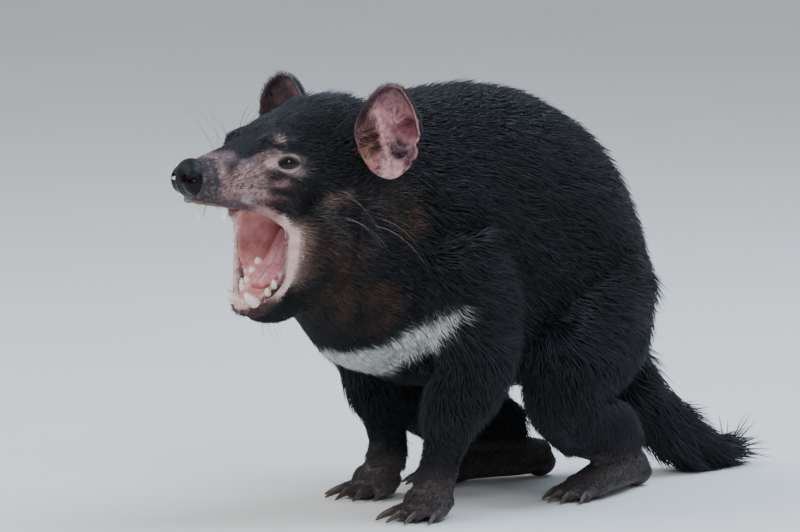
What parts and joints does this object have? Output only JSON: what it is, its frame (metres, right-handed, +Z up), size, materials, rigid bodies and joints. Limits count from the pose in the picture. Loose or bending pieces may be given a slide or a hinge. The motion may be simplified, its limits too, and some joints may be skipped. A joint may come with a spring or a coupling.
{
  "type": "tasmanian devil",
  "caption": "Stocky black marsupial standing four-footed with hunched back, low rump, wide open jaws, round cupped ears and a thick tail laid on the floor.",
  "frame": {"origin": "middle of the bounding box, on the floor under the animal", "axes": "-Y is forward, +X the animal's left, +Z up"},
  "size_m": [0.1646, 0.4712, 0.2601],
  "materials": {
    "coat": "glossy black short fur",
    "white_coat": "white fur",
    "bare_skin": "thin pink skin",
    "foot_skin": "dark grey skin",
    "nose_pad": "moist black skin",
    "mouth": "moist pink lining",
    "teeth": "ivory enamel",
    "claw": "dark horn",
    "eye": "wet dark brown"
  },
  "bodies": {
    "root": {"torso": "coat", "neck": "coat", "head": "coat", "lower_jaw": "coat", "nose": "nose_pad", "tongue": "mouth", "ear_left": "bare_skin", "ear_right": "bare_skin", "eye_left": "eye", "eye_right": "eye", "foreleg_left": "coat", "foreleg_right": "coat", "forepaw_left": "foot_skin", "forepaw_right": "foot_skin", "hindleg_left": "coat", "hindleg_right": "coat", "hindfoot_left": "foot_skin", "hindfoot_right": "foot_skin", "tail": "coat"}
  },
  "joints": []
}
